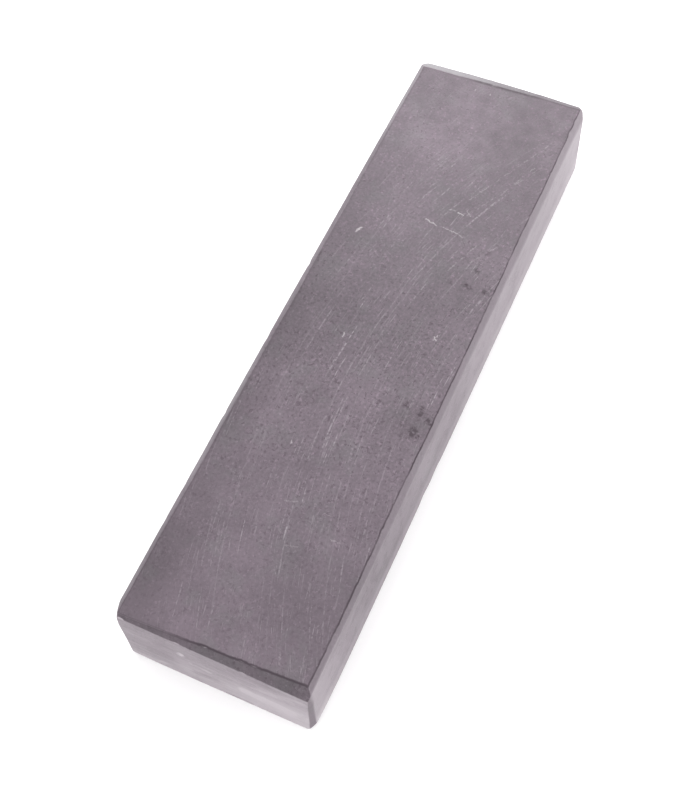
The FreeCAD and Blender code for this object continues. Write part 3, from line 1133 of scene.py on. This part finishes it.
# Stains and strokes: how far off the noise is that moves them the other way, how ragged they
# are, how they break up, and how strongly they and the scratches show.
JITTER = (5.0, 6.0, 7.0)
STAIN_CORE, STAIN_EDGE = 0.3, 1.25
STAIN_RAGGED = (0.9, 0.42, 3.0)
STAIN_SPECKS = (0.75, 3.0, 0.6), (0.38, 0.54, 0.30, 1.35)
STROKE_RAGGED = (0.45, 0.30)
STROKE_BREAKS = (1.1, 2.0), (0.44, 0.58)
FINE_SCRATCH_POWDER, LONG_SCRATCH_POWDER = 0.45, 0.56
STAIN_STRENGTH = 0.9
STROKE_STRENGTH = 0.42


def ragged_flat(graph, spot, jitter, ragged):
    """The place seen from above, strayed in both directions to make edges ragged."""
    x = graph.sum(spot.x, graph.swing(spot.place, *ragged))
    y = graph.sum(spot.y, graph.swing(jitter, *ragged))
    return graph.joined(x, y, 0.0)


def stain_share(graph, flat, stains):
    """The share of a place that any of the stains covers."""
    covered = 0.0
    for centre, radius, strength in stains:
        gap = graph.gap(flat, centre)
        one = graph.ramp(gap, STAIN_CORE * radius, STAIN_EDGE * radius, strength, 0.0)
        covered = graph.math("MAXIMUM", covered, one)
    return covered


def marks_of_use(graph, spot, honed, stroke_group):
    """The scratches, stains and strokes of the honed face."""
    fine, long = scratches(graph, spot)
    jitter = graph.vector("ADD", spot.place, JITTER)
    blurred = ragged_flat(graph, spot, jitter, STAIN_RAGGED)
    specks = graph.patches(jitter, *STAIN_SPECKS)
    stained = graph.times(stain_share(graph, blurred, STAINS), honed, specks)
    ragged = ragged_flat(graph, spot, jitter, STROKE_RAGGED)
    skipping = stroke_share(graph, stroke_group, ragged, SKIPPING_STROKES)
    skipping = graph.times(skipping, graph.patches(jitter, *STROKE_BREAKS))
    strokes = stroke_share(graph, stroke_group, ragged, STROKES)
    return Marks(
        lines=graph.times(fine, honed),
        long_lines=graph.times(long, honed),
        stained=graph.math("MINIMUM", stained, 1.0),
        struck=graph.times(graph.math("MAXIMUM", strokes, skipping), honed),
    )


def marked_colour(graph, colour, marks):
    """A colour with powder in the scratches, dark stains and light strokes on it."""
    fine_powder = graph.times(marks.lines, FINE_SCRATCH_POWDER)
    long_powder = graph.times(marks.long_lines, LONG_SCRATCH_POWDER)
    powdered = graph.math("MAXIMUM", fine_powder, long_powder)
    colour = graph.mixed(powdered, colour, GROOVE_POWDER)
    colour = graph.mixed(graph.times(marks.stained, STAIN_STRENGTH), colour, STAIN)
    return graph.mixed(graph.times(marks.struck, STROKE_STRENGTH), colour, FLECK)


# A dark line in the crease just inside the edge of the honed face.
CREASE_INSIDE = 0.06
CREASE_CORE, CREASE_EDGE, CREASE_STRENGTH = 0.03, 0.28, 0.95
CREASE_PATCHES = (6.0, 3.0), (0.35, 0.60, 0.55, 1.0)
CREASE_AREAS = (
    (-0.65, ("y", 5, 14)),
    (-0.10, ("x", 66, 70)),
)


def crease_share(graph, spot, wobble):
    """How strongly a dark line shows in the crease where the honed face meets the bevels."""
    inside = graph.sum(graph.region("honed"), wobble, -CREASE_INSIDE)
    line = graph.ramp(graph.math("ABSOLUTE", inside), CREASE_CORE, CREASE_EDGE, CREASE_STRENGTH, 0.0)
    patchy = graph.patches(spot.place, *CREASE_PATCHES)
    return graph.times(line, patchy, thinning(graph, spot, CREASE_AREAS))


# Gloss.
SPECULAR_LEVEL = 0.35
WALL_ROUGHNESS, HONED_ROUGHNESS, NEAR_BAND_ROUGHNESS = 0.66, 0.55, 0.42
SPECKLE_ROUGHNESS, LINE_ROUGHNESS = 0.35, 0.12

# Relief, in millimetres.
FINE_RELIEF = (0.35, 0.006, 3.0)
WORN_RELIEF = (3.0, 0.015, 2.0)
SAW_RELIEF_STRETCH, SAW_RELIEF = (0.10, 0.10, 1.0), (0.9, 0.015, 2.0)
FLAKE_DEPTH, LINE_DEPTH, STROKE_DEPTH = 0.030, 0.010, 0.030


def stone_roughness(graph, masks, texture, marks):
    """How rough each place is: smoother where it was honed, and rougher in the scratches."""
    rough = graph.blended(masks["honed"], WALL_ROUGHNESS, HONED_ROUGHNESS)
    rough = graph.blended(masks["near_band"], rough, NEAR_BAND_ROUGHNESS)
    speckle = graph.times(texture.speckle, SPECKLE_ROUGHNESS)
    return graph.sum(rough, speckle, graph.times(marks.lines, LINE_ROUGHNESS))


def stone_relief(graph, spot, masks, texture, marks):
    """The surface direction, bent by the fine relief of the stone."""
    walls = graph.math("SUBTRACT", 1.0, masks["honed"])
    saw = graph.swing(graph.squeezed(spot.place, SAW_RELIEF_STRETCH), *SAW_RELIEF)
    relief = graph.sum(
        graph.swing(spot.place, *FINE_RELIEF),
        graph.swing(spot.place, *WORN_RELIEF),
        graph.times(saw, walls),
        graph.times(texture.flakes, walls, -FLAKE_DEPTH),
        graph.times(marks.lines, -LINE_DEPTH),
        graph.times(marks.struck, -STROKE_DEPTH),
    )
    sources = {"Height": graph.times(relief, MM), "Distance": 1.0}
    return graph.add("ShaderNodeBump", sources).outputs["Normal"]


def stone_material():
    """Fine-grained purple-grey slate: honed on top, sawn and dusty on the sides and ends, with painted
    light bounced up from the floor towards the base.
    """
    material = bpy.data.materials.new("stone")
    material.use_nodes = True
    graph = Graph(material.node_tree)
    stroke_group = make_stroke_group()
    spot = make_spot(graph)
    wobble = edge_wobble(graph, spot)
    masks = region_masks(graph, wobble)
    texture = stone_texture(graph, spot, masks["honed"])
    marks = marks_of_use(graph, spot, masks["honed"], stroke_group)

    dust_and_bounce_light = dust_and_bounce_light_share(graph, spot, masks, texture, stroke_group)
    greyer = graph.math("MAXIMUM", masks["left_band"], masks["far_band"])
    # Pale dust, which towards the base is also painted light bounced up from the floor.
    colour = graph.mixed(dust_and_bounce_light, texture.rock, graph.mixed(greyer, DUST_AND_BOUNCE_LIGHT, GREY_DUST))
    colour = graph.mixed(graph.times(masks["nicks"], NICK_DUST), colour, DUST_AND_BOUNCE_LIGHT)
    colour = graph.scaled(colour, handled_shade(graph, spot, masks))
    colour = marked_colour(graph, colour, marks)
    colour = graph.mixed(crease_share(graph, spot, wobble), colour, CREASE_LINE_COLOUR)

    shader = material.node_tree.nodes["Principled BSDF"]
    shader.inputs["Specular IOR Level"].default_value = SPECULAR_LEVEL
    rough = stone_roughness(graph, masks, texture, marks)
    normal = stone_relief(graph, spot, masks, texture, marks)
    graph.tree.links.new(colour, shader.inputs["Base Color"])
    graph.tree.links.new(rough, shader.inputs["Roughness"])
    graph.tree.links.new(normal, shader.inputs["Normal"])
    return material


# ==== The scene ====

make_camera()
make_floor()
make_world()
add_softbox("key", KEY_PLACE, KEY_AIM, KEY_SIDE, KEY_WATTS)
bpy.context.scene.view_settings.view_transform = "Standard"
stone = make_stone()
stone.data.materials.append(stone_material())
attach(stone, "root")
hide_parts(NODE)
